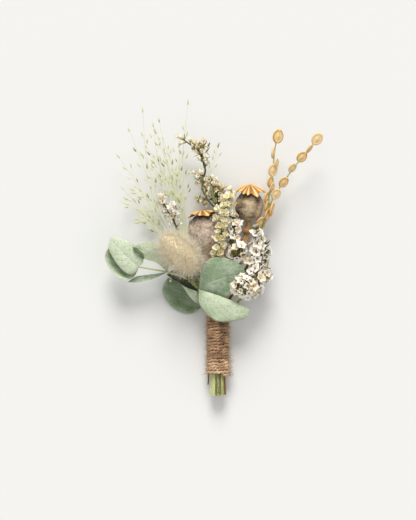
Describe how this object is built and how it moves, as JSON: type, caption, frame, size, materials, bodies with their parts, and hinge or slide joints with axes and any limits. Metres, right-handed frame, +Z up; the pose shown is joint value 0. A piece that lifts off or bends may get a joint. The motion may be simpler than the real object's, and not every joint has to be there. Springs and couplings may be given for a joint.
{
  "type": "boutonniere",
  "caption": "Flat-lying dried-flower boutonniere: eucalyptus leaves, poppy seed heads, bunny-tail grass, small papery flowers and seed pods on a twine-wrapped stem handle.",
  "frame": {"origin": "bottom centre of the whole object's box, on the surface it lies on", "axes": "+Y along the handle, from the cut ends to the flower tips; +X to the right seen from above; +Z up from the surface"},
  "size_m": [0.108, 0.1516, 0.0305],
  "materials": {
    "jute_twine": "matt twisted jute, brown, with loose fibres",
    "eucalyptus_leaf": "dried leaf, matt sage green with a pale bloom",
    "straw_stem": "dry straw-brown stem, matt, lightly grooved",
    "bunny_tail": "soft cream-beige hairs",
    "poppy_capsule": "dry seed capsule, matt grey-brown, mottled and lightly ribbed",
    "poppy_crown": "dry golden cap with radial ridges",
    "yellow_flower": "papery dried flowers, pale yellow-green",
    "seed_pod": "thin dry pods, golden straw, smooth satin",
    "beige_flower": "papery dried flowers, beige",
    "white_flower": "papery dried flowers, off-white with brown centres",
    "green_grass": "dried panicle grass, pale green, matt"
  },
  "bodies": {
    "root": {"twine_wrap": "jute_twine", "eucalyptus_left": "eucalyptus_leaf", "eucalyptus_right": "eucalyptus_leaf", "bunny_tail_stem": "straw_stem", "bunny_tail_head": "bunny_tail", "poppy_left_capsule": "poppy_capsule", "poppy_left_stem": "straw_stem", "poppy_left_crown": "poppy_crown", "poppy_right_capsule": "poppy_capsule", "poppy_right_stem": "straw_stem", "poppy_right_crown": "poppy_crown", "yellow_spike": "yellow_flower", "seed_pod_spray": "seed_pod", "statice_top": "beige_flower", "statice_small": "beige_flower", "statice_white_lower": "white_flower", "statice_white_upper": "white_flower", "grass_spray": "green_grass"}
  },
  "joints": []
}
